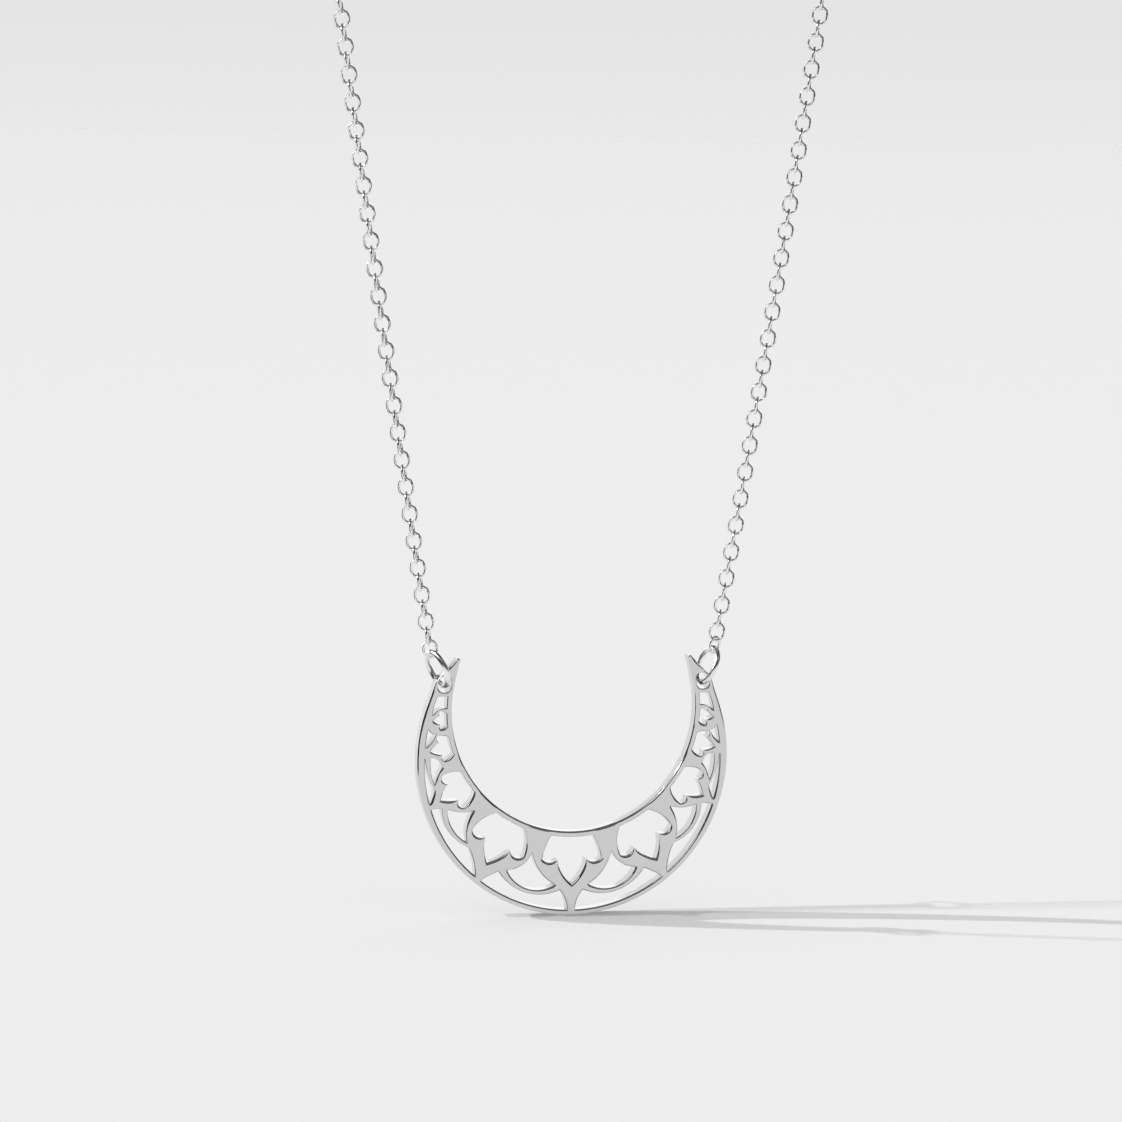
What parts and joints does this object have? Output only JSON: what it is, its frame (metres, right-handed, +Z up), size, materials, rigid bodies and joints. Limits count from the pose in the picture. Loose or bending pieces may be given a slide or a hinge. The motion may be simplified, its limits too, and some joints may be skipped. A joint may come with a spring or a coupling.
{
  "type": "moon necklace",
  "caption": "Necklace with a flat crescent pendant, horns up, cut through with a leaf and swag pattern, hung by rings from a fine cable chain.",
  "frame": {"origin": "point inside the loop, under the clasp, where the necklace hangs on the back of a neck", "axes": "+Z up along the hanging necklace, -Y towards the viewer of the pendant's front, +X to that viewer's right"},
  "size_m": [0.0682, 0.0044, 0.1896],
  "materials": {
    "silver": "polished"
  },
  "bodies": {
    "necklace": {"chain_left": "silver", "chain_right": "silver", "clasp": "silver"},
    "pendant": {"moon_plate": "silver", "jump_ring_left": "silver", "jump_ring_right": "silver"}
  },
  "joints": [
    {"name": "pendant_swing", "type": "hinge", "parent": "necklace", "child": "pendant", "pos_m": [0, 0, -0.15929], "axis": [1, 0, 0], "range_deg": [-30, 30]}
  ]
}
